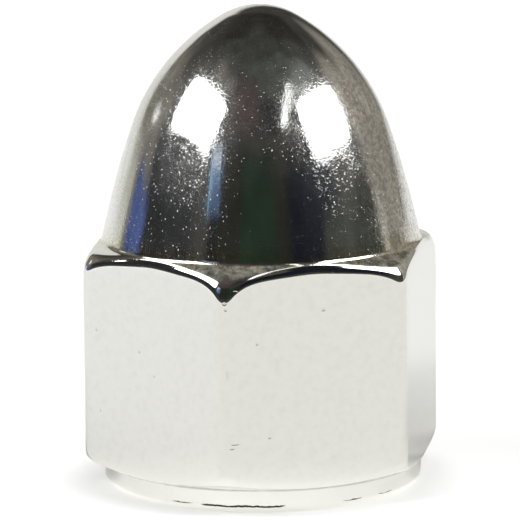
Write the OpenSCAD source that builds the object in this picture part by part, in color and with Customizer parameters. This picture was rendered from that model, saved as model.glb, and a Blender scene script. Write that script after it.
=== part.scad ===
// High-dome cap nut: turned from hexagon bar, with a low round washer face, rounded chamfers and a
// pointed dome. A blind tapped hole runs up the axis. All sizes are in millimetres.
// The seat is the plane z = 0, the dome points along +Z and two of the flats face along Y.

/* [Hexagon] */
// Width across two opposite flats
across_flats = 13; // [11:0.5:17]
// Height of the hexagon, from the washer face to the foot of the dome
hex_h = 8.85; // [7:0.05:12]
// Radius on the six upright edges
edge_r = 0.7; // [0.2:0.1:1.2]
// Slope of the upper chamfer, in degrees from level
top_chamfer_angle = 12.5; // [5:0.5:35]
// Radius that rolls the upper chamfer over into the upright edges
top_chamfer_r = 1.1; // [0.3:0.05:1.6]
// Slope of the lower chamfer, in degrees from level
bottom_chamfer_angle = 22; // [10:1:35]
// Radius that rolls the lower chamfer over into the upright edges
bottom_chamfer_r = 0.65; // [0.3:0.05:1.6]

/* [Washer face] */
// Height of the round washer face under the hexagon
washer_h = 0.9; // [0.5:0.05:2]
// Step from each flat in to the wall of the washer face
washer_step = 0.15; // [0.05:0.05:1]
// Bevel round the foot of the washer face
washer_bevel = 0.26; // [0.1:0.02:0.4]

/* [Dome] */
// Height of the dome above the hexagon
dome_h = 9.4; // [7:0.05:12]
// Step from each flat in to the foot of the dome
dome_step = 0.12; // [0.04:0.02:1]
// Radius of the fillet in the crease between the upper chamfer and the dome
crease_r = 0.3; // [0.05:0.05:1]
// Taper of the dome at its foot, in degrees from upright
foot_taper = 11.8; // [5:0.2:20]
// Radius of the long arc that shapes the flank
flank_r = 38; // [18:1:90]
// Height of the crown, from the top of the flank to the tip
crown_h = 4.8; // [3.5:0.1:7]
// Radius of the rounded nose
nose_r = 2.9; // [1:0.1:4.2]

/* [Thread] */
// Nominal diameter of the thread
thread_d = 8; // [6:0.5:10]
// Pitch of the thread
thread_pitch = 1.25; // [0.75:0.25:1.5]
// Extra width of the tapping drill over the nominal diameter less the pitch
drill_allowance = 0.05; // [0:0.01:0.1]
// Solid metal between the drill point and the top of the dome
crown_wall = 4.1; // [2.5:0.1:7]
// Angle of the drill point
drill_point_angle = 118; // [90:1:140]
// Width of the countersunk mouth beyond the nominal thread diameter
mouth_extra = 0.4; // [0.2:0.1:1]

/* [Hidden] */
$fn = 96;
// Coarsest turn between two points of an arc, in degrees
arc_step = 4;
// Fewest steps in an arc, so that a long shallow one stays smooth
fewest_steps = 6;
flats = 6;
corner_turn = 360 / flats;
half_flat = across_flats / 2;
// Distance from the axis to the middle of a rounded upright edge
corner_reach = (half_flat - edge_r) / cos(corner_turn / 2) + edge_r;
washer_wall_r = half_flat - washer_step;
dome_foot_r = half_flat - dome_step;
body_h = washer_h + hex_h;
total_h = body_h + dome_h;

// Rounded chamfers: each slope runs out from the body and rolls over to upright just outside the
// upright edges, so that it fades into them. A slope too short for its roll limits the roll
roll_overrun = 0.05;
roll_out_r = corner_reach + roll_overrun;
least_slope_w = 0.04;
top_roll_r = roll_radius(top_chamfer_r, dome_foot_r, top_chamfer_angle);
top_roll_centre = [
    roll_out_r - top_roll_r,
    body_h - roll_height(top_roll_r, dome_foot_r, top_chamfer_angle)
];
bottom_roll_r = roll_radius(bottom_chamfer_r, washer_wall_r, bottom_chamfer_angle);
bottom_roll_centre = [
    roll_out_r - bottom_roll_r,
    washer_h + roll_height(bottom_roll_r, washer_wall_r, bottom_chamfer_angle)
];

// Dome outline: the flank is an arc that starts at the foot, and the shoulder is one arc that is
// tangent to the flank and to the nose
dome_foot = [dome_foot_r, body_h];
flank_h = dome_h - crown_h;
flank_centre = dome_foot - flank_r * [cos(foot_taper), sin(foot_taper)];
flank_turn = asin(sin(foot_taper) + flank_h / flank_r);
flank_outward = [cos(flank_turn), sin(flank_turn)];
flank_top = flank_centre + flank_r * flank_outward;
nose_centre = [0, total_h - nose_r];
nose_to_flank = flank_top - nose_centre;
shoulder_r = (nose_to_flank * nose_to_flank - nose_r * nose_r)
    / (2 * (nose_to_flank * flank_outward - nose_r));
shoulder_centre = flank_top - shoulder_r * flank_outward;
nose_turn = atan2(nose_centre[1] - shoulder_centre[1], nose_centre[0] - shoulder_centre[0]);

// Crease: a hollow fillet that is tangent to the upper chamfer and to the flank. A slope too short
// for it limits it
crease_turn = foot_taper + top_chamfer_angle;
crease_room = (top_roll_centre[0] + top_roll_r * sin(top_chamfer_angle) - dome_foot_r)
    / cos(top_chamfer_angle) - least_slope_w / 2;
crease_fit_r = min(crease_r, crease_room * (crease_room + 2 * flank_r * cos(crease_turn))
    / (2 * flank_r * (1 - sin(crease_turn))));
crease_reach = sqrt(pow(flank_r * cos(crease_turn), 2)
    + 2 * flank_r * crease_fit_r * (1 - sin(crease_turn))) - flank_r * cos(crease_turn);
crease_centre = dome_foot + crease_reach * [cos(top_chamfer_angle), -sin(top_chamfer_angle)]
    + crease_fit_r * [sin(top_chamfer_angle), cos(top_chamfer_angle)];
flank_start = asin((crease_centre[1] - flank_centre[1]) / (flank_r + crease_fit_r));

// Tapped hole: the tapping drill, its point, and the countersunk mouth
drill_r = (thread_d - thread_pitch + drill_allowance) / 2;
drill_point_h = drill_r / tan(drill_point_angle / 2);
drill_depth = total_h - crown_wall - drill_point_h;
mouth_r = (thread_d + mouth_extra) / 2;
mouth_h = mouth_r - drill_r;

// Radius of the roll at the end of a chamfer that starts at inner_r, as far as its slope lets it
function roll_radius(wanted, inner_r, angle) =
    min(wanted, (roll_out_r - inner_r - least_slope_w) / (1 - sin(angle)));

// Height from the start of a chamfer to the centre of its roll
function roll_height(radius, inner_r, angle) =
    (roll_out_r - inner_r) * tan(angle) + radius * tan((90 - angle) / 2);

// Points of an arc about a centre, from one angle to another. A first of 1 leaves the start out,
// for an arc that carries on from another one
function arc(centre, radius, from, to, first = 0) =
    let (steps = max(fewest_steps, ceil(abs(to - from) / arc_step)))
        [for (i = [first : steps])
            let (turn = from * (1 - i / steps) + to * i / steps)
                centre + radius * [cos(turn), sin(turn)]];

// Bar with its six upright edges rounded, as tall as the nut
module hexagon_bar() {
    linear_extrude(total_h)
        polygon([
            for (corner = [0 : flats - 1])
                let (turn = corner * corner_turn, out = [cos(turn), sin(turn)])
                    each arc((corner_reach - edge_r) * out, edge_r, turn - corner_turn / 2,
                        turn + corner_turn / 2)
        ]);
}

// Form that turning gives, from the seat up: washer face, lower chamfer, upper chamfer and dome
module turned_form() {
    rotate_extrude()
        polygon(concat(
            [[0, 0], [washer_wall_r - washer_bevel, 0], [washer_wall_r, washer_bevel]],
            [[washer_wall_r, washer_h]],
            arc(bottom_roll_centre, bottom_roll_r, bottom_chamfer_angle - 90, 0),
            arc(top_roll_centre, top_roll_r, 0, 90 - top_chamfer_angle),
            arc(crease_centre, crease_fit_r, 270 - top_chamfer_angle, 180 + flank_start),
            arc(flank_centre, flank_r, flank_start, flank_turn, first = 1),
            arc(shoulder_centre, shoulder_r, flank_turn, nose_turn, first = 1),
            arc(nose_centre, nose_r, nose_turn, 90, first = 1)
        ));
}

module tapped_hole() {
    cylinder(drill_depth, r = drill_r);
    translate([0, 0, drill_depth])
        cylinder(drill_point_h, drill_r, 0);
    cylinder(mouth_h, mouth_r, drill_r);
}

module cap_nut() {
    color("silver")
        difference() {
            intersection() {
                hexagon_bar();
                turned_form();
            }
            tapped_hole();
        }
}

cap_nut();
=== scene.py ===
import math

import bpy
import numpy as np
from bpy.props import FloatProperty, FloatVectorProperty, IntProperty, PointerProperty
from bpy.types import Operator, Panel, PropertyGroup
from mathutils import Matrix, Vector


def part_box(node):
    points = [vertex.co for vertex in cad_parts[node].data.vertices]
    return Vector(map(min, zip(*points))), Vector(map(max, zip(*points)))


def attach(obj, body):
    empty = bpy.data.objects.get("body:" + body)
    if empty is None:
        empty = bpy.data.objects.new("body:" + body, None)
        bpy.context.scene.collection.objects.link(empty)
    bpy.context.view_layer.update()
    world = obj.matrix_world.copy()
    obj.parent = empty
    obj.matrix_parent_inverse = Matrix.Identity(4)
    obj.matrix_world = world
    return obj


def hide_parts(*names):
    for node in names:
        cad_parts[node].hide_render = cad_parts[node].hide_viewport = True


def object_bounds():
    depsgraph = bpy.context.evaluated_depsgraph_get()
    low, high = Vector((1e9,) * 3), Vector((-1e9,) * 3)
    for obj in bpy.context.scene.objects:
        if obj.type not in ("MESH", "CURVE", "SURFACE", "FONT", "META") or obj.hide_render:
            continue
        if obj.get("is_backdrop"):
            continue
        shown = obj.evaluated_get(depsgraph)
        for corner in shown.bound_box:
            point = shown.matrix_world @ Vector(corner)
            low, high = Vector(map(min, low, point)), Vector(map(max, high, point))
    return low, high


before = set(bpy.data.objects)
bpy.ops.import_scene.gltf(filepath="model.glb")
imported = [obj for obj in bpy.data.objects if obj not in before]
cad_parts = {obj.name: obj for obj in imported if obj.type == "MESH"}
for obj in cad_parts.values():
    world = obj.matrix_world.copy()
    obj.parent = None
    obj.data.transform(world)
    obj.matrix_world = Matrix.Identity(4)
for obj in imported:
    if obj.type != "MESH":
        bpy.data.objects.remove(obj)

bl_info = {
    "name": "Cap Nut",
    "version": (1, 0, 0),
    "blender": (4, 5, 0),
    "location": "3D View > Sidebar > Cap Nut",
    "description": "Makes a chrome-plated high-dome cap nut and the small studio that it stands in",
    "category": "Add Mesh",
}

MM = 0.001
MICRON = 0.000001
NODE = "cap_nut"
BODY = "root"
LOW, HIGH = (Vector(corner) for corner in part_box(NODE))
FLATS = 6
SECTOR = 2 * math.pi / FLATS
# The front left corner, where the upper chamfer is cut deepest, as an angle from +X towards +Y, and
# the power by which the cut fades away from it
DEEPEST_CUT = math.radians(-120)
CUT_FADE = 0.6
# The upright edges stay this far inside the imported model's
HAIR = 0.4 * MICRON
# How far past the upright edges the chamfers are drawn before they are cut off there
OVERRUN = 0.05 * MM
# Points in each arc and in each slope of the outline
ARC_POINTS = 60
# Points along one side of the nut before its rows are chosen
OUTLINE_POINTS = 9000
# How closely the columns gather at the upright edges, from 0 to 1
BUNCHING = 0.55
# Rings of points in one turn of the thread
RINGS_PER_TURN = 22
# Half width of the thread's groove where it is widest, and the part of that which slopes, as
# shares of the pitch
GROOVE_HALF = 0.375
GROOVE_SLOPE = 0.3125


# ---------------------------------------------------------------- settings


class CapNutSizes(PropertyGroup):
    """Sizes of the nut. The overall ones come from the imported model."""

    across_flats: FloatProperty(
        name="Across flats", description="Width across two opposite flats",
        default=HIGH.y - LOW.y, min=0.005, unit="LENGTH")
    height: FloatProperty(
        name="Height", description="Height of the whole nut",
        default=HIGH.z - LOW.z, min=0.005, unit="LENGTH")
    edge_r: FloatProperty(
        name="Upright edge radius", description="Radius on the six upright edges",
        default=0.7 * MM, min=0, unit="LENGTH")
    washer_h: FloatProperty(
        name="Washer face height", description="Height of the round washer face",
        default=0.9 * MM, min=0, unit="LENGTH")
    washer_step: FloatProperty(
        name="Washer face step", description="Step from each flat in to the washer face",
        default=0.15 * MM, min=0, unit="LENGTH")
    washer_bevel: FloatProperty(
        name="Washer face bevel", description="Bevel round the foot of the washer face",
        default=0.26 * MM, min=0, unit="LENGTH")
    dome_h: FloatProperty(
        name="Dome height", description="Height of the dome above the hexagon",
        default=9.4 * MM, min=0, unit="LENGTH")
    dome_step: FloatProperty(
        name="Dome step", description="Step from each flat in to the foot of the dome",
        default=0.12 * MM, min=0, unit="LENGTH")
    foot_taper: FloatProperty(
        name="Dome taper", description="Taper of the dome at its foot, from upright",
        default=math.radians(11.8), subtype="ANGLE")
    flank_r: FloatProperty(
        name="Flank radius", description="Radius of the long arc of the dome's flank",
        default=38 * MM, min=0, unit="LENGTH")
    crown_h: FloatProperty(
        name="Crown height", description="Height from the top of the flank to the tip",
        default=4.8 * MM, min=0, unit="LENGTH")
    nose_r: FloatProperty(
        name="Nose radius", description="Radius of the rounded tip",
        default=2.9 * MM, min=0, unit="LENGTH")
    top_slope: FloatProperty(
        name="Upper chamfer slope", description="Slope of the upper chamfer, from level",
        default=math.radians(12.5), subtype="ANGLE")
    top_roll_r: FloatProperty(
        name="Upper roll radius", description="Radius that rolls the upper chamfer to upright",
        default=1.1 * MM, min=0, unit="LENGTH")
    bottom_slope: FloatProperty(
        name="Lower chamfer slope", description="Slope of the lower chamfer, from level",
        default=math.radians(22), subtype="ANGLE")
    bottom_roll_r: FloatProperty(
        name="Lower roll radius", description="Radius that rolls the lower chamfer to upright",
        default=0.65 * MM, min=0, unit="LENGTH")
    top_edge_soft: FloatProperty(
        name="Upper edge softness", description="How far polishing softened the flats' top edges",
        default=0.26 * MM, min=0, unit="LENGTH")
    crease_soft: FloatProperty(
        name="Crease softness", description="How far plating fills the crease under the dome",
        default=0.14 * MM, min=0, unit="LENGTH")
    bottom_edge_soft: FloatProperty(
        name="Lower edge softness", description="How far polishing softened the lower edges",
        default=0.12 * MM, min=0, unit="LENGTH")
    thread_d: FloatProperty(
        name="Thread diameter", description="Nominal diameter of the thread",
        default=8 * MM, min=0, unit="LENGTH")
    thread_pitch: FloatProperty(
        name="Thread pitch", description="Rise of the thread in one turn",
        default=1.25 * MM, min=0.0002, unit="LENGTH")
    drill_r: FloatProperty(
        name="Drill radius", description="Radius of the tapping drill, at the thread's crests",
        default=3.4 * MM, min=0, unit="LENGTH")
    mouth_r: FloatProperty(
        name="Mouth radius", description="Radius of the countersunk mouth",
        default=4.2 * MM, min=0, unit="LENGTH")
    shallow_cut: FloatProperty(
        name="Shallow cut", description="How much less the upper chamfer takes off the far corners",
        default=0.3 * MM, min=0, unit="LENGTH")
    crown_wall: FloatProperty(
        name="Crown wall", description="Metal between the drill point and the tip",
        default=4.1 * MM, min=0, unit="LENGTH")
    drill_point: FloatProperty(
        name="Drill point", description="Full angle of the drill point",
        default=math.radians(118), subtype="ANGLE")
    run_out: FloatProperty(
        name="Thread run-out", description="Plain length left between the thread and the drill point",
        default=1.9 * MM, min=0, unit="LENGTH")
    rows: IntProperty(name="Rows", description="Rows of faces up the outside", default=132, min=40)
    columns: IntProperty(
        name="Columns", description="Columns of faces across each flat", default=80, min=16)


class CapNutFinish(PropertyGroup):
    """Colours and wear of the plating."""

    chrome: FloatVectorProperty(
        name="Chrome", description="Colour of the clean plating", subtype="COLOR",
        size=4, min=0, max=1, default=(0.82, 0.82, 0.805, 1))
    tarnish: FloatVectorProperty(
        name="Tarnish", description="Colour of the plating in the crease and the pits",
        subtype="COLOR", size=4, min=0, max=1, default=(0.68, 0.63, 0.45, 1))
    bare: FloatVectorProperty(
        name="Bore", description="Colour of the thinly plated thread", subtype="COLOR",
        size=4, min=0, max=1, default=(0.60, 0.585, 0.55, 1))
    gloss: FloatProperty(
        name="Roughness", description="Roughness of the clean plating", default=0.035,
        min=0, max=1)
    haze: FloatProperty(
        name="Haze", description="Share of dull metal in the bright plating of the dome",
        default=0.14, min=0, max=1)
    pit_depth: FloatProperty(
        name="Pit depth", description="Depth of the pits in the dome", default=16 * MICRON,
        min=0, precision=6, unit="LENGTH")


class CapNutStudio(PropertyGroup):
    """The floor, the lamps and the camera."""

    floor: FloatVectorProperty(
        name="Floor", description="Colour of the floor", subtype="COLOR",
        size=4, min=0, max=1, default=(0.80, 0.80, 0.785, 1))
    floor_size: FloatProperty(
        name="Floor size", description="Half the width of the floor", default=1.5,
        min=0.2, unit="LENGTH")
    lamp_light: FloatProperty(
        name="Softbox light", description="Radiance of the two softboxes", default=4.2, min=0)
    camera_turn: FloatProperty(
        name="Camera turn", description="Turn of the camera about the nut",
        default=math.radians(-18.483), subtype="ANGLE")
    camera_rise: FloatProperty(
        name="Camera rise", description="Height of the camera, as an angle",
        default=math.radians(10.613), subtype="ANGLE")
    camera_roll: FloatProperty(
        name="Camera roll", description="Roll of the camera", default=math.radians(-0.478),
        subtype="ANGLE")
    camera_distance: FloatProperty(
        name="Camera distance", description="Distance from the camera to the nut",
        default=191.7 * MM, min=0.05, unit="LENGTH")
    lens: FloatProperty(
        name="Lens", description="Focal length of the camera, in millimetres", default=332.3,
        min=10)


# ---------------------------------------------------------------- outline of the nut


def arc(centre, radius, start, end):
    """Points of an arc in the (r, z) half-plane, angles measured from level."""
    turn = np.linspace(start, end, ARC_POINTS)
    return np.stack([centre[0] + radius * np.cos(turn), centre[1] + radius * np.sin(turn)], 1)


def dome_outline(s, foot):
    """The dome from its foot to its tip: flank, shoulder and nose arcs, each tangent to the next."""
    flank_h = s.dome_h - s.crown_h
    flank_centre = foot - s.flank_r * np.array([math.cos(s.foot_taper), math.sin(s.foot_taper)])
    flank_turn = math.asin(math.sin(s.foot_taper) + flank_h / s.flank_r)
    outward = np.array([math.cos(flank_turn), math.sin(flank_turn)])
    flank_top = flank_centre + s.flank_r * outward
    nose_centre = np.array([0, s.height - s.nose_r])
    reach = flank_top - nose_centre
    shoulder_r = (reach @ reach - s.nose_r ** 2) / (2 * (reach @ outward - s.nose_r))
    shoulder_centre = flank_top - shoulder_r * outward
    across, rise = nose_centre - shoulder_centre
    nose_turn = math.atan2(rise, across)
    return np.concatenate([
        arc(flank_centre, s.flank_r, s.foot_taper, flank_turn),
        arc(shoulder_centre, shoulder_r, flank_turn, nose_turn)[1:],
        arc(nose_centre, s.nose_r, nose_turn, math.pi / 2)[1:],
    ])


def chamfer_outline(root, slope, roll_r, out_r, up):
    """A chamfer from the body out to upright: a slope, then a roll. up is 1 for the lower one."""
    run = out_r - root[0]
    centre = np.array([
        out_r - roll_r,
        root[1] + up * (run * math.tan(slope) + roll_r * math.tan((math.pi / 2 - slope) / 2)),
    ])
    roll = arc(centre, roll_r, -up * (math.pi / 2 - slope), 0)
    return np.concatenate([np.linspace(root, roll[0], ARC_POINTS)[:-1], roll])


def cut_at(line, reach):
    """The part of a line that runs out from the body as far as reach, ending exactly there."""
    inside = line[line[:, 0] < reach]
    last, following = inside[-1], line[len(inside)]
    share = (reach - last[0]) / (following[0] - last[0])
    return np.concatenate([inside, [last + share * (following - last)]])


def hexagon_reach(s, turn):
    """Distance from the axis to the hexagon's side, with its upright edges rounded."""
    half = s.across_flats / 2
    off = abs((turn + SECTOR) % SECTOR - SECTOR / 2)
    edge_centre = (half - s.edge_r) / math.cos(SECTOR / 2)
    if math.tan(off) * half <= edge_centre * math.sin(SECTOR / 2):
        return half / math.cos(off)
    bend = SECTOR / 2 - off
    return edge_centre * math.cos(bend) - HAIR + math.sqrt(
        s.edge_r ** 2 - (edge_centre * math.sin(bend)) ** 2)


def corner_share(s, reach):
    """0 in the middle of a flat and 1 at an upright edge."""
    half = s.across_flats / 2
    corner = (half - s.edge_r) / math.cos(SECTOR / 2) + s.edge_r
    return (reach - half) / (corner - half)


def soften(line, lengths, at, spread):
    """The line averaged about one place on it, so that a corner there turns into a round."""
    near = np.abs(lengths - at) < 3 * spread
    weight = np.exp(-0.5 * ((lengths[near] - at) / spread) ** 2) * np.gradient(lengths)[near]
    return weight @ line[near] / weight.sum()


def cut_share(turn):
    """1 at the corner where the upper chamfer is cut deepest, and 0 a sector away from it."""
    off = abs((turn - DEEPEST_CUT + math.pi) % (2 * math.pi) - math.pi)
    return max(0, 1 - off / SECTOR) ** CUT_FADE


def side_outline(s, reach, depth):
    """Points up one side of the nut, from the seat to the tip, where the hexagon reaches so far.
    depth says how deep the upper chamfer is cut there, from 0 to 1."""
    half = s.across_flats / 2
    out_r = (half - s.edge_r) / math.cos(SECTOR / 2) + s.edge_r + OVERRUN
    wall_r = half - s.washer_step
    body_h = s.height - s.dome_h
    foot = np.array([half - s.dome_step, body_h])
    lower = cut_at(chamfer_outline(
        np.array([wall_r, s.washer_h]), s.bottom_slope, s.bottom_roll_r, out_r, 1), reach)
    short = reach - s.shallow_cut * corner_share(s, reach) ** 2 * (1 - depth)
    upper = cut_at(chamfer_outline(foot, s.top_slope, s.top_roll_r, out_r, -1), short)[::-1]
    upper[:, 0] = foot[0] + (upper[:, 0] - foot[0]) * (reach - foot[0]) / (short - foot[0])
    corners = [
        np.array([[wall_r - s.washer_bevel - 0.6 * MM, 0], [wall_r - s.washer_bevel, 0]]),
        np.array([[wall_r, s.washer_bevel]]),
        lower,
        upper,
        dome_outline(s, foot)[1:],
    ]
    # where each corner lies along the line, how soft it is, and how closely rows gather there
    marks, softness, gather = [], [], []
    joined = np.concatenate(corners)
    steps = np.hypot(*np.diff(joined, axis=0).T)
    along = np.concatenate([[0], np.cumsum(steps)])
    ends = np.cumsum([len(part) for part in corners])
    crease = along[ends[3] - 1]
    for at, spread, rows in (
        (along[1], 0.03 * MM, 6),
        (along[2], 0.03 * MM, 6),
        (along[3], 0.05 * MM, 8),
        (along[ends[2] - 1], s.bottom_edge_soft, 11),
        (along[ends[2]], s.top_edge_soft * (1 + 0.9 * corner_share(s, reach) ** 4), 15),
        (crease, s.crease_soft, 13),
        (crease + 1.4 * MM, 0.04 * MM, 0),
        (along[-1], 0.02 * MM, 0),
    ):
        marks.append(at)
        softness.append(spread)
        gather.append(rows)
    fine = np.linspace(0, along[-1], OUTLINE_POINTS)
    line = np.stack([np.interp(fine, along, joined[:, k]) for k in (0, 1)], 1)
    spread = np.interp(fine, marks, softness)
    density = np.interp(
        fine, [marks[3], marks[3] + 0.5 * MM, marks[4] - 0.5 * MM, marks[4], crease, crease + MM],
        [1.5, 1, 1, 1.5, 2, 4]) / MM
    # the rows gather in a bell about each corner, twice as wide as the corner is soft
    for at, size, rows in zip(marks, softness, gather):
        density += rows / (size * 3.6) * np.exp(-(((fine - at) / (2.0 * size)) ** 2))
    share = np.concatenate([[0], np.cumsum((density[1:] + density[:-1]) / 2 * np.diff(fine))])
    stops = np.interp(np.linspace(0, share[-1], s.rows + 1), share, fine)
    rounded = [soften(line, fine, at, np.interp(at, fine, spread)) for at in stops]
    rounded[0] = line[0]
    rounded[-1] = line[-1]
    return np.array(rounded)


def column_turns(s):
    """Angles of the columns round the nut, closer together at the upright edges."""
    share = (np.arange(s.columns) + 0.5) / s.columns - 0.5
    bunched = share - BUNCHING / (2 * math.pi) * np.sin(2 * math.pi * (share + 0.5))
    one = SECTOR / 2 + SECTOR * bunched
    return np.concatenate([one + k * SECTOR for k in range(FLATS)])


# ---------------------------------------------------------------- mesh of the nut


def outside_rings(s, turns):
    """Rings of points from the seat up to just under the tip, one point for each column."""
    sides = {}
    rings = np.zeros((s.rows + 1, len(turns), 3))
    for column, turn in enumerate(turns):
        reach = hexagon_reach(s, turn)
        depth = cut_share(turn)
        key = round(reach / MICRON, 2), round(depth, 4)
        if key not in sides:
            sides[key] = side_outline(s, reach, depth)
        side = sides[key]
        rings[:, column, 0] = side[:, 0] * math.cos(turn)
        rings[:, column, 1] = side[:, 0] * math.sin(turn)
        rings[:, column, 2] = side[:, 1]
    return rings


def inside_rings(s, turns):
    """Rings of points from the mouth up the thread to just under the drill point."""
    mouth_h = s.mouth_r - s.drill_r
    point_h = s.drill_r / math.tan(s.drill_point / 2)
    depth = s.height - s.crown_wall - point_h
    groove = s.thread_d / 2 - s.drill_r
    top = depth - s.run_out
    heights = np.concatenate([
        np.linspace(0, mouth_h / 2, 5)[:-1],
        np.arange(mouth_h / 2, top, s.thread_pitch / RINGS_PER_TURN),
        np.linspace(top, depth, 6),
    ])
    rings = []
    for height in heights:
        cone = s.mouth_r - height
        phase = (height / s.thread_pitch - turns / (2 * math.pi)) % 1
        share = np.clip((GROOVE_HALF - np.abs(phase - 0.5)) / GROOVE_SLOPE, 0, 1)
        fade = np.clip((top - height) / s.thread_pitch, 0, 1)
        radius = np.maximum(s.drill_r + groove * share * fade, cone)
        rings.append(np.stack([radius * np.cos(turns), radius * np.sin(turns),
                               np.full(len(turns), height)], 1))
    for share in (0.25, 0.5, 0.75, 0.93):
        radius = s.drill_r * (1 - share)
        rings.append(np.stack([radius * np.cos(turns), radius * np.sin(turns),
                               np.full(len(turns), depth + point_h * share)], 1))
    return np.array(rings), depth + point_h


def nut_mesh(s):
    """The whole nut as one closed mesh: outside, seat, thread and drill point."""
    turns = column_turns(s)
    wide = len(turns)
    narrow = wide // 4
    outer = outside_rings(s, turns)[:-1]
    inner, point_z = inside_rings(s, turns[::4])
    verts = np.concatenate([
        outer.reshape(-1, 3), inner.reshape(-1, 3), [[0, 0, s.height], [0, 0, point_z]]])
    tip = len(verts) - 2
    point = len(verts) - 1
    faces = []
    for row in range(len(outer) - 1):
        for a in range(wide):
            b = (a + 1) % wide
            faces.append((row * wide + a, row * wide + b, (row + 1) * wide + b,
                          (row + 1) * wide + a))
    last = (len(outer) - 1) * wide
    faces += [(last + a, last + (a + 1) % wide, tip) for a in range(wide)]
    # the seat: four outer columns meet each inner one
    base = len(outer) * wide
    for a in range(narrow):
        b = (a + 1) % narrow
        ring = [(4 * a + k) % wide for k in range(5)]
        for k in range(4):
            corner = a if k < 2 else b
            faces.append((base + corner, ring[k + 1], ring[k]))
        faces.append((base + a, base + b, ring[2]))
    materials = [0] * len(faces)
    for row in range(len(inner) - 1):
        for a in range(narrow):
            b = (a + 1) % narrow
            faces.append((base + row * narrow + a, base + (row + 1) * narrow + a,
                          base + (row + 1) * narrow + b, base + row * narrow + b))
    last = base + (len(inner) - 1) * narrow
    faces += [(last + (a + 1) % narrow, last + a, point) for a in range(narrow)]
    materials += [1] * (len(faces) - len(materials))
    mesh = bpy.data.meshes.new("chromed_cap_nut")
    mesh.from_pydata(verts.tolist(), [], faces)
    mesh.polygons.foreach_set("material_index", materials)
    mesh.polygons.foreach_set("use_smooth", [True] * len(faces))
    mesh.update()
    return mesh


# ---------------------------------------------------------------- shaders


class Socket:
    """A shader socket that takes part in plain arithmetic: each operator adds one Math node."""

    def __init__(self, tree, socket=None):
        self.tree = tree
        self.socket = socket

    def node(self, kind, settings=(), inputs=(), output=0):
        """Adds a node, sets it up, fills or links its inputs and returns one of its outputs."""
        made = self.tree.nodes.new(kind)
        for name, value in dict(settings).items():
            setattr(made, name, value)
        for name, value in dict(inputs).items():
            if isinstance(value, Socket):
                self.tree.links.new(value.socket, made.inputs[name])
            else:
                made.inputs[name].default_value = value
        return Socket(self.tree, made.outputs[output] if made.outputs else None)

    def maths(self, operation, *values):
        """One Math node on values or sockets."""
        return self.node("ShaderNodeMath", {"operation": operation}, enumerate(values))

    def __add__(self, other):
        return self.maths("ADD", self, other)

    def __sub__(self, other):
        return self.maths("SUBTRACT", self, other)

    def __rsub__(self, other):
        return self.maths("SUBTRACT", other, self)

    def __mul__(self, other):
        return self.maths("MULTIPLY", self, other)

    def __truediv__(self, other):
        return self.maths("DIVIDE", self, other)

    __radd__ = __add__
    __rmul__ = __mul__

    def __abs__(self):
        return self.maths("ABSOLUTE", self)

    def ramp(self, start, end):
        """0 below start and 1 above end, smooth between. The ends may run either way."""
        return self.node(
            "ShaderNodeMapRange", {"interpolation_type": "SMOOTHSTEP"},
            {"Value": self, "From Min": start, "From Max": end})

    def mix(self, other, share):
        """This colour turned into another one by a share from 0 to 1."""
        return self.node(
            "ShaderNodeMix", {"data_type": "RGBA"}, {0: share, 6: self, 7: other}, output=2)

    def dot(self, vector):
        """How far this vector reaches along another one."""
        return self.node(
            "ShaderNodeVectorMath", {"operation": "DOT_PRODUCT"}, {0: self, 1: vector}, output=1)

    def stretch(self, scale):
        """This vector with each axis scaled by itself."""
        return self.node(
            "ShaderNodeVectorMath", {"operation": "MULTIPLY"}, {0: self, 1: scale})

    def noise(self, size, detail=2.0, roughness=0.5, output=0):
        """Noise from 0 to 1 with features of a given size in metres."""
        return self.node("ShaderNodeTexNoise", {}, {
            "Vector": self, "Scale": 1 / size, "Detail": detail, "Roughness": roughness}, output)

    def cells(self, size, feature="F1", output="Distance"):
        """Irregular cells of a given size in metres."""
        return self.node("ShaderNodeTexVoronoi", {"feature": feature}, {
            "Vector": self, "Scale": 1 / size}, output)


def new_tree(owner):
    """An empty node tree on a material or a world, wrapped for building."""
    owner.use_nodes = True
    owner.node_tree.nodes.clear()
    return Socket(owner.node_tree)


def colour(red, green, blue):
    """A colour written in the usual 0 to 255 form, as linear light. A light may be past 255."""
    def linear(value):
        value /= 255
        return value / 12.92 if value <= 0.04045 else ((value + 0.055) / 1.055) ** 2.4
    return linear(red), linear(green), linear(blue), 1


# Where a dark reflection of the room is painted along a burr on the lower ridge of the washer face:
# middle and half length, in degrees from the front and positive to the right, and its thickness
PAINTED_BURR_REFLECTIONS = (
    (-26, 15, 0.055 * MM), (-48.5, 4, 0.045 * MM), (15, 4, 0.04 * MM), (31, 3.5, 0.05 * MM),
)


def painted_burr_reflection_mask(s, place, z):
    """1 where a dark reflection is painted along the burrs of the washer face's lower ridge, which
    are thin, bent and broken.
    """
    jagged = (place.stretch((1, 1, 0)).noise(0.35 * MM, 3, 0.7) - 0.5) * (0.16 * MM)
    off = abs(z + jagged - s.washer_bevel)
    mask = 0
    for middle, half, thick in PAINTED_BURR_REFLECTIONS:
        along = place.dot(compass(middle, 0)) / (s.across_flats / 2 - s.washer_step)
        near = along.ramp(math.cos(math.radians(half + 1)), math.cos(math.radians(half - 1)))
        mask = off.ramp(thick, thick * 0.5) * near + mask
    return mask


# Small nicks in the flats: the turn of the flat in degrees, then the place along it and the height,
# and the half width and half height, all in millimetres
NICKS = (
    (0, 0.35, 8.02, 0.09, 0.06), (0, -2.38, 6.87, 0.06, 0.06), (0, -3.58, 5.68, 0.04, 0.2),
    (0, -1.89, 3.12, 0.07, 0.05), (0, -3.3, 2.96, 0.16, 0.04), (0, -3.42, 2.8, 0.1, 0.05),
    (0, -3.24, 8.94, 0.1, 0.05), (0, -3.66, 8.5, 0.06, 0.06), (0, -3.62, 8.28, 0.05, 0.06),
    (-60, -2.96, 6.7, 0.06, 0.07), (-60, -2.8, 3.46, 0.05, 0.06), (-60, -0.66, 6.08, 0.05, 0.05),
    (-60, 0.12, 5.22, 0.04, 0.05),
)


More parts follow.
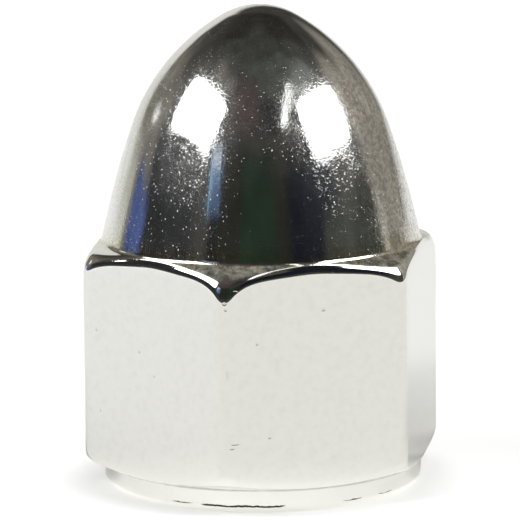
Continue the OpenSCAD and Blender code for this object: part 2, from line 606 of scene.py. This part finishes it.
def nick_mask(s, place, z):
    """1 in the nicks of the flats, each a small oval."""
    mask = 0
    for flat, along, high, half_w, half_h in NICKS:
        outwards = place.dot(compass(flat, 0))
        on_flat = outwards.ramp(s.across_flats * 0.485, s.across_flats * 0.49)
        aside = (place.dot(compass(flat + 90, 0)) - along * MM) / (half_w * MM)
        off = (z - high * MM) / (half_h * MM)
        mask = (aside * aside + off * off).ramp(1.5, 0.3) * on_flat + mask
    return mask


# Pits: size of the cells they lie in, in millimetres, scale of the height, which draws them out
# upwards when it is under 1, share of the cells that hold one, radius as a share of the cell, and
# relative depth
PITS = (
    (0.26, 1, 0.26, 0.12, 1.0), (0.12, 1, 0.36, 0.2, 0.6), (0.42, 0.4, 0.34, 0.075, 1.2),
)
# Relief of the plating
CRACKLE_DEPTH = 1.1 * MICRON
SPECK_DEPTH = 0.9 * MICRON
GRIT_HEIGHT = 1.7 * MICRON
STREAK_HEIGHT = 1.9 * MICRON
NICK_DEPTH = 5 * MICRON
# Colours of the plating where it is mottled or scuffed through, and the near black that darkens the
# nicks, paints shade into the step over the washer face and paints a dark reflection along the burrs
MOTTLED = (0.7, 0.7, 0.68, 1)
SCUFFED = (0.3, 0.26, 0.22, 1)
GRIME_AND_PAINTED_SHADE = (0.03, 0.03, 0.028, 1)


def pit_bowls(place):
    """Round pits of two sizes and upright dashes, as steep bowls: 0 outside them."""
    pits = 0
    for size, stretch, chance, radius, deep in PITS:
        spot = place.stretch((1, 1, stretch))
        cell = spot.cells(size * MM, output="Color")
        luck = cell.node("ShaderNodeSeparateColor", {}, {0: cell})
        bowl = 1 - spot.cells(size * MM) / (radius * 0.6 + luck * radius * 1.6)
        chosen = luck.ramp(chance + 0.02, chance - 0.02)
        pits = bowl.maths("MAXIMUM", bowl, 0) * chosen * deep + pits
    return pits


def crackle_lines(place):
    """1 on a net of fine bent lines and 0 between them."""
    bend = place.noise(0.4 * MM, output="Color").stretch((0.3 * MM, 0.3 * MM, 0.3 * MM))
    bent = place.node("ShaderNodeVectorMath", {"operation": "ADD"}, {0: place, 1: bend})
    return 1 - bent.cells(0.21 * MM, "DISTANCE_TO_EDGE").ramp(0.0, 0.2)


def upright_streaks(place, around):
    """Noise from 0 to 1, drawn out upwards. around is the level direction from the axis."""
    round_about = around.stretch((6 * MM, 6 * MM, 0))
    drawn_out = place.stretch((0, 0, 0.05))
    spot = around.node(
        "ShaderNodeVectorMath", {"operation": "ADD"}, {0: round_about, 1: drawn_out})
    return spot.noise(0.16 * MM, 2)


def chrome_plating(s, finish):
    """Bright plating, pitted, crackled and hazy on the dome, nearly plain on the hexagon."""
    material = bpy.data.materials.new("chrome_plating")
    shader = new_tree(material)
    place = shader.node("ShaderNodeTexCoord", output="Object")
    z = shader.node("ShaderNodeSeparateXYZ", {}, {0: place}, output="Z")
    facing = shader.node("ShaderNodeTexCoord", output="Normal")
    upward = shader.node("ShaderNodeSeparateXYZ", {}, {0: facing}, output="Z")
    body_h = s.height - s.dome_h

    def above(low, high):
        """0 below one height and 1 above another, both in millimetres from the dome's foot."""
        return z.ramp(body_h + low * MM, body_h + high * MM)

    # where it is worn: the dome up to its shoulder, the ledge under it and the crease between
    dome = above(-0.2, 0.3)
    worn = dome * (1 - above(6.0, 9.2))
    shoulder = above(1.8, 4.0) * (1 - above(5.8, 8.8))
    ledge = (upward.ramp(0.35, 0.85) * (1 - above(0.3, 0.8))
             * place.dot(compass(12, 0)).ramp(0, 3 * MM))
    around = place.node("ShaderNodeVectorMath", {"operation": "NORMALIZE"}, {
        0: place.stretch((1, 1, 0))})
    low_front = around.dot(compass(-4, 0)).ramp(0.86, 0.96) * (1 - above(2.5, 5.5))
    crease = dome * (1 - above(0.1, 1.0))
    # the right side is scuffed, and the left side is calmer low down
    scuffed = worn * around.dot(compass(52, 0)).ramp(0.8, 0.96)
    calm = around.dot(compass(-57, 0)).ramp(0.86, 0.97) * (1 - above(3.5, 5.5)) * 0.55
    patchy = place.noise(1.7 * MM, 3, 0.6)
    pits = pit_bowls(place)
    grit = place.noise(0.13 * MM, 4, 0.75)
    specks = place.noise(0.11 * MM, 3, 0.65).ramp(0.56, 0.74)
    # the crackle comes and goes, and polishing left faint streaks
    crackle = (crackle_lines(place) * patchy.ramp(0.42, 0.58) * worn * (1 - low_front * 0.6)
               * (1 - calm))
    streaks = upright_streaks(place, around) * dome
    wave = place.noise(1.1 * MM, 1) - 0.5
    nicks = nick_mask(s, place, z)
    height = (
        pits * (0.12 + worn * (1 - low_front * 0.7) * (0.45 + above(1.5, 4.0) * 0.55) + ledge)
        * (-finish.pit_depth)
        - crackle * CRACKLE_DEPTH
        - specks * (0.2 + worn + ledge) * SPECK_DEPTH
        + grit * (0.08 + worn * (0.3 + patchy * 0.9) * (1 - calm) + ledge) * GRIT_HEIGHT
        + streaks * STREAK_HEIGHT
        - nicks * NICK_DEPTH
        + wave * (1.0 + dome * 5.0) * MICRON
    )
    normal = shader.node("ShaderNodeBump", {}, {"Height": height, "Distance": 1.0})
    rough = (finish.gloss + specks * (0.15 + worn) * 0.12 + patchy.ramp(0.35, 0.7) * worn * 0.05
             + crackle * 0.1)
    stain = (crease + ledge * 0.8) * place.noise(0.16 * MM, 3).ramp(0.38, 0.58)
    tint = shader.node("ShaderNodeMix", {"data_type": "RGBA"}, {
        0: stain, 6: tuple(finish.chrome), 7: tuple(finish.tarnish)}, output=2)
    tint = tint.mix(MOTTLED, place.noise(0.3 * MM, 5, 0.7).ramp(0.4, 0.8) * 0.35)
    scuffs = place.noise(0.2 * MM, 5, 0.8).ramp(0.44, 0.58)
    tint = tint.mix(SCUFFED, scuffed * scuffs * 0.55)
    # painted shade in the narrow step where the lower chamfer meets the washer face
    step = abs(z - s.washer_h).ramp(0.07 * MM, 0.02 * MM) * patchy.ramp(0.25, 0.55)
    # near black over the painted burr reflections, the nicks and the painted step shade
    tint = tint.mix(GRIME_AND_PAINTED_SHADE, painted_burr_reflection_mask(s, place, z) + nicks * 0.09 + step * 0.28)
    bright = shader.node("ShaderNodeBsdfPrincipled", {}, {
        "Base Color": tint, "Metallic": 1.0, "Roughness": rough, "Normal": normal})
    # the haze of wear too fine to see lies over the bright metal in soft blotches
    dull = shader.node("ShaderNodeBsdfPrincipled", {}, {
        "Base Color": tint, "Metallic": 1 - ledge * 0.55, "Roughness": 0.34 + ledge * 0.16,
        "Normal": normal})
    blotches = place.noise(0.45 * MM, 4, 0.7).ramp(0.3, 0.75)
    frost = place.noise(0.1 * MM, 3, 0.7).ramp(0.54, 0.72) * patchy.ramp(0.3, 0.6)
    frosted = dome * (1 - low_front) * (1 - calm) * frost
    haze = (finish.haze * (0.12 + dome * 0.1 + frosted * (2.9 + scuffed * 3)
                           + shoulder * (1 - low_front * 0.7) * (0.2 + blotches * 0.9))
            + ledge * (0.1 + blotches * 0.75))
    surface = shader.node("ShaderNodeMixShader", {}, {0: haze, 1: bright, 2: dull})
    shader.node("ShaderNodeOutputMaterial", {}, {"Surface": surface})
    return material


def bore_plating(finish):
    """Thin, duller plating on the tapped thread."""
    material = bpy.data.materials.new("bore_plating")
    shader = new_tree(material)
    place = shader.node("ShaderNodeTexCoord", output="Object")
    scuff = place.stretch((1, 1, 6)).noise(0.5 * MM, 3, 0.6)
    height = scuff * (3 * MICRON)
    normal = shader.node("ShaderNodeBump", {}, {"Height": height, "Distance": 1.0})
    dull = shader.node("ShaderNodeMix", {"data_type": "RGBA"}, {
        0: scuff.ramp(0.35, 0.7), 6: tuple(finish.bare), 7: tuple(finish.tarnish)}, output=2)
    surface = shader.node("ShaderNodeBsdfPrincipled", {}, {
        "Base Color": dull, "Metallic": 1.0, "Roughness": 0.25 + scuff * 0.2,
        "Normal": normal})
    shader.node("ShaderNodeOutputMaterial", {}, {"Surface": surface})
    return material


# Painted shadows of the nut on the floor that the metal mirrors: turn in degrees, distance and width
# in millimetres, and how much darker
FLOOR_PAINTED_SHADOWS = (
    (138, 15, 15, 0.14), (-135, 8.5, 6, 0.33), (112, 8, 5, 0.18), (-117, 7.6, 3, 0.08),
    (81, 7.6, 3, 0.22),
)


def floor_paint(studio):
    """A pale floor that shades like paint, but reads as clean white to the eye and in the metal."""
    material = bpy.data.materials.new("floor_paint")
    shader = new_tree(material)
    path = shader.node("ShaderNodeLightPath").socket.node.outputs
    camera = Socket(shader.tree, path["Is Camera Ray"])
    glossy = Socket(shader.tree, path["Is Glossy Ray"])
    clear = Socket(shader.tree, path["Is Transmission Ray"])
    place = shader.node("ShaderNodeTexCoord", output="Object")
    out = place.node("ShaderNodeVectorMath", {"operation": "LENGTH"}, {0: place}, output=1)
    # light that the nut throws back on the floor round it
    thrown_back = out.ramp(16 * MM, 8 * MM)
    # painted shadows of the nut on the floor, seen only in the metal
    shade = 0
    for turn, far, wide, deep in FLOOR_PAINTED_SHADOWS:
        off = place.node("ShaderNodeVectorMath", {"operation": "DISTANCE"}, {
            0: place, 1: compass(turn, 0) * (far * MM)}, output=1)
        shade = off.ramp(wide * MM, wide * 0.45 * MM) * deep + shade
    # the soft shadow close round the foot, a little deeper on the left
    leftwards = place.dot(compass(-80, 0)).ramp(0, 5 * MM)
    contact = out.ramp(8.8 * MM, 6 * MM) * (0.27 + 0.1 * leftwards)
    lift = (camera * (0.68 - contact)
            + glossy * (0.42 + thrown_back * 0.12 - shade) + clear * 0.8)
    # the metal mirrors a warmer and dimmer floor in front than behind, and the eye a neutral one
    tone = place.dot(compass(-175, 0)).ramp(-30 * MM, 30 * MM)
    warm = shader.node("ShaderNodeMix", {"data_type": "RGBA"}, {
        0: tone, 6: (1.03, 1.0, 0.9, 1), 7: (1.16, 1.17, 1.15, 1)}, output=2)
    warm = warm.mix((1, 1, 1, 1), camera)
    paint = shader.node("ShaderNodeBsdfDiffuse", {}, {"Color": tuple(studio.floor)})
    glow = shader.node("ShaderNodeEmission", {}, {"Color": warm, "Strength": lift})
    both = shader.node("ShaderNodeAddShader", {}, {0: paint, 1: glow})
    under = shader.node("ShaderNodeNewGeometry", output="Backfacing")
    gone = shader.node("ShaderNodeBsdfTransparent")
    surface = shader.node("ShaderNodeMixShader", {}, {0: under, 1: both, 2: gone})
    shader.node("ShaderNodeOutputMaterial", {}, {"Surface": surface})
    return material


# ---------------------------------------------------------------- the studio


def compass(turn, rise):
    """Unit vector at a turn from the front, positive to the right, and a rise, both in degrees."""
    turn, rise = math.radians(turn), math.radians(rise)
    return Vector((math.sin(turn) * math.cos(rise), -math.cos(turn) * math.cos(rise),
                   math.sin(rise)))


def panel_axes(turn, rise, roll):
    """Across, up and towards-the-panel directions of a flat panel that faces the nut."""
    towards = compass(turn, rise)
    across = compass(turn + 90, 0)
    up = across.cross(towards)
    if up.z < 0:
        up = -up
    spin = math.radians(roll)
    return (across * math.cos(spin) + up * math.sin(spin),
            up * math.cos(spin) - across * math.sin(spin), towards)


# The softboxes: name, turn, rise and roll in degrees, then half width and half height at one metre
SOFTBOXES = (
    ("left_softbox", -91, 38, 4, 0.41, 0.235),
    ("right_softbox", 52.5, 35.4, -9, 0.375, 0.23),
)
SOFTBOX_DISTANCE = 0.8
RIM_POINTS = 64
# How round the softboxes' corners are: 1 makes an oval and 0 a sharp rectangle
CORNER_ROUND = 0.28


def add_softbox(name, turn, rise, roll, half_width, half_height, light):
    """A lit panel with rounded corners that faces the nut."""
    across, up, towards = panel_axes(turn, rise, roll)
    rim = []
    for step in range(RIM_POINTS):
        angle = 2 * math.pi * step / RIM_POINTS
        side, top = (math.copysign(abs(value) ** CORNER_ROUND, value)
                     for value in (math.cos(angle), math.sin(angle)))
        spot = towards + across * (half_width * side) + up * (half_height * top)
        rim.append(SOFTBOX_DISTANCE * spot)
    mesh = bpy.data.meshes.new(name)
    mesh.from_pydata(rim, [], [tuple(range(len(rim)))])
    material = bpy.data.materials.new(name)
    shader = new_tree(material)
    glow = shader.node("ShaderNodeEmission", {}, {"Color": (1, 1, 1, 1), "Strength": light})
    shader.node("ShaderNodeOutputMaterial", {}, {"Surface": glow})
    mesh.materials.append(material)
    panel = bpy.data.objects.new(name, mesh)
    panel.visible_camera = False
    panel.visible_shadow = False
    bpy.context.scene.collection.objects.link(panel)
    panel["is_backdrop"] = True


# Things round the studio that the metal mirrors: turn and rise of the middle, half width, half
# height and softness in degrees, then the colour that they show in the chrome
SURROUNDINGS = (
    ("back of the room", 160, 62, 48, 6, 14, (42, 41, 38)),
    ("ceiling in front", 15, 68, 50, 4, 14, (66, 69, 65)),
    ("curtain", -38, 50, 12, 10, 12, (64, 55, 54)),
    ("curtain's shade", -8, 44, 5, 8, 8, (44, 42, 42)),
    ("left wall", -146, 12, 14, 11, 14, (112, 108, 99)),
    ("cupboard on the left", -96, 14, 20, 4, 9, (36, 37, 38)),
    ("right wall", 108, 14, 22, 12, 13, (138, 134, 124)),
    ("right wall near the lamp", 96, 30, 6, 8, 12, (148, 142, 132)),
    ("shade in front", -6, 17, 50, 7, 7, (35, 35, 30)),
    ("green cloth", -21, 17, 12, 9, 3, (31, 44, 33)),
    ("navy cloth", 24, 16, 18, 6, 6, (15, 19, 28)),
    ("low front right", 55, 9, 22, 4, 6, (58, 60, 54)),
    ("light blue cloth", -57, 22, 4, 2, 2.5, (86, 110, 146)),
    ("light blue cloth's lit top", -57, 25.5, 3, 0.6, 1.4, (200, 214, 226)),
    ("light blue cloth's lit edge", -61, 21, 0.5, 3, 1.2, (118, 158, 184)),
    ("blue box", -127, 5, 8.5, 3, 2.5, (66, 82, 130)),
    ("lit ground on the left", -160, 2, 16, 2, 5, (180, 180, 170)),
    ("glow over the right lamp", 56, 56, 20, 2, 9, (98, 101, 97)),
    ("glow over the left lamp", -86, 59, 24, 1, 7, (92, 87, 82)),
    ("small lamp", -140, 17, 3, 1.5, 2.5, (250, 250, 247)),
    ("bright doorway", 85, 5, 1.5, 3, 2, (190, 188, 180)),
)
# The brightness that the chrome takes from what it mirrors
CHROME_SHARE = 0.8


def studio_world():
    """The room as the metal mirrors it: dark, with a lit backdrop behind the nut. The eye sees
    plain white behind the floor."""
    world = bpy.data.worlds.new("studio")
    shader = new_tree(world)
    way = shader.node("ShaderNodeTexCoord", output="Generated")
    up = shader.node("ShaderNodeSeparateXYZ", {}, {0: way}, output="Z")
    rise = up.maths("ARCSINE", up) * math.degrees(1)

    def turn_from(middle):
        """How far round to the right of a turn, in degrees."""
        across = way.dot(compass(middle + 90, 0))
        ahead = way.dot(compass(middle, 0))
        return across.maths("ARCTAN2", across, ahead) * math.degrees(1)

    def beyond(offset, half):
        """How far an offset is past a half width, or 0 inside it."""
        return offset.maths("MAXIMUM", abs(offset) - half, 0)

    room = shader.node("ShaderNodeMix", {"data_type": "RGBA"}, {
        0: rise.ramp(25, 70), 6: colour(60, 58, 54), 7: colour(57, 57, 54)}, output=2)
    for _, turn, high, half_w, half_h, soft, shown in SURROUNDINGS:
        aside, above = beyond(turn_from(turn), half_w), beyond(rise - high, half_h)
        gap = aside.maths("SQRT", aside * aside + above * above)
        room = room.mix(colour(*shown), gap.ramp(soft, 0))
    # a slanting strip of light between the softboxes
    across, above, towards = panel_axes(16, 49, 52)
    ahead = way.dot(towards)
    strip = (abs(way.dot(across) / ahead).ramp(0.27, 0.22)
             * abs(way.dot(above) / ahead).ramp(0.055, 0.03) * ahead.ramp(0.2, 0.4))
    room = room.mix(colour(300, 302, 298), strip)
    # nothing in a real room is one even tone
    mottle = (way.stretch((1, 1, 1.6)).noise(0.16, 4, 0.7) - 0.5) * 1.9 + 0.95
    room = room.node("ShaderNodeVectorMath", {"operation": "SCALE"}, {0: room, "Scale": mottle})
    # the lit backdrop, as a tent of light behind the nut, steeper on the left
    behind = turn_from(180)
    edge = 34 - behind.maths("MAXIMUM", behind * 1.5, behind * -0.84)
    room = room.mix(colour(208, 208, 203), (rise - edge).ramp(7, -5))
    room = room.mix(colour(232, 232, 228), rise.ramp(0.6, -0.6))
    path = shader.node("ShaderNodeLightPath").socket.node.outputs
    camera = Socket(shader.tree, path["Is Camera Ray"])
    seen = shader.node("ShaderNodeBackground", {}, {"Color": (1, 1, 1, 1), "Strength": 1.0})
    mirrored = shader.node(
        "ShaderNodeBackground", {}, {"Color": room, "Strength": 1 / CHROME_SHARE})
    surface = shader.node("ShaderNodeMixShader", {}, {0: camera, 1: mirrored, 2: seen})
    shader.node("ShaderNodeOutputWorld", {}, {"Surface": surface})
    return world


# The floor lies this far under the seat
FLOOR_GAP = 0.02 * MM
# The camera aims this far below the middle of the nut, and to its own left of the nut's axis
AIM_BELOW = 0.714 * MM
AIM_ASIDE = 0.052 * MM


def add_floor(studio):
    """A large flat floor just under the seat."""
    half = studio.floor_size
    level = LOW.z - FLOOR_GAP
    mesh = bpy.data.meshes.new("floor")
    mesh.from_pydata([(-half, -half, level), (half, -half, level), (half, half, level),
                      (-half, half, level)], [], [(0, 1, 2, 3)])
    mesh.materials.append(floor_paint(studio))
    floor = bpy.data.objects.new("floor", mesh)
    bpy.context.scene.collection.objects.link(floor)
    floor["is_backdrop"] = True


def add_camera(studio):
    """The camera, a little to the left of the front and a little above."""
    towards = compass(math.degrees(studio.camera_turn), math.degrees(studio.camera_rise))
    across = compass(math.degrees(studio.camera_turn) + 90, 0)
    up = towards.cross(across)
    low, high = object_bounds()
    middle = Vector((0, 0, (high[2] - low[2]) / 2 - AIM_BELOW)) - across * AIM_ASIDE
    spin = studio.camera_roll
    right = across * math.cos(spin) + up * math.sin(spin)
    above = up * math.cos(spin) - across * math.sin(spin)
    camera = bpy.data.objects.new("camera", bpy.data.cameras.new("camera"))
    camera.data.sensor_width = 36
    camera.data.lens = studio.lens
    camera.data.clip_start = 0.01
    camera.data.clip_end = 10
    camera.matrix_world = Matrix.Translation(
        middle + towards * studio.camera_distance) @ Matrix(
        (right, above, towards)).transposed().to_4x4()
    bpy.context.scene.collection.objects.link(camera)
    bpy.context.scene.camera = camera


# ---------------------------------------------------------------- operators and panel


class CAPNUT_OT_nut(Operator):
    """Make the chrome-plated cap nut, with its dome, hexagon, washer face and thread"""

    bl_idname = "cap_nut.nut"
    bl_label = "Make Cap Nut"

    def execute(self, context):
        sizes = context.scene.cap_nut_sizes
        finish = context.scene.cap_nut_finish
        mesh = nut_mesh(sizes)
        mesh.materials.append(chrome_plating(sizes, finish))
        mesh.materials.append(bore_plating(finish))
        nut = bpy.data.objects.new("chromed_cap_nut", mesh)
        context.scene.collection.objects.link(nut)
        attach(nut, BODY)
        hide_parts(NODE)
        return {"FINISHED"}


class CAPNUT_OT_stage(Operator):
    """Make the pale floor, the two softboxes, the room that the metal mirrors and the camera"""

    bl_idname = "cap_nut.stage"
    bl_label = "Make Studio"

    def execute(self, context):
        studio = context.scene.cap_nut_studio
        add_floor(studio)
        for softbox in SOFTBOXES:
            add_softbox(*softbox, studio.lamp_light)
        context.scene.world = studio_world()
        context.scene.view_settings.view_transform = "Standard"
        add_camera(studio)
        return {"FINISHED"}


class CAPNUT_PT_panel(Panel):
    """Buttons and settings of the cap nut"""

    bl_label = "Cap Nut"
    bl_idname = "CAPNUT_PT_panel"
    bl_space_type = "VIEW_3D"
    bl_region_type = "UI"
    bl_category = "Cap Nut"

    def draw(self, context):
        scene = context.scene
        for title, operator, groups in (
            ("Nut", CAPNUT_OT_nut, (scene.cap_nut_sizes, scene.cap_nut_finish)),
            ("Studio", CAPNUT_OT_stage, (scene.cap_nut_studio,)),
        ):
            box = self.layout.box()
            box.label(text=title)
            for group in groups:
                for name in group.bl_rna.properties.keys():
                    if name not in ("rna_type", "name"):
                        box.prop(group, name)
            box.operator(operator.bl_idname)


CLASSES = (CapNutSizes, CapNutFinish, CapNutStudio, CAPNUT_OT_nut, CAPNUT_OT_stage,
           CAPNUT_PT_panel)


def register():
    for cls in CLASSES:
        bpy.utils.register_class(cls)
    bpy.types.Scene.cap_nut_sizes = PointerProperty(type=CapNutSizes)
    bpy.types.Scene.cap_nut_finish = PointerProperty(type=CapNutFinish)
    bpy.types.Scene.cap_nut_studio = PointerProperty(type=CapNutStudio)


def unregister():
    del bpy.types.Scene.cap_nut_studio
    del bpy.types.Scene.cap_nut_finish
    del bpy.types.Scene.cap_nut_sizes
    for cls in reversed(CLASSES):
        bpy.utils.unregister_class(cls)


def main():
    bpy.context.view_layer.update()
    register()
    bpy.ops.cap_nut.stage()
    bpy.ops.cap_nut.nut()


if __name__ == "__main__":
    main()
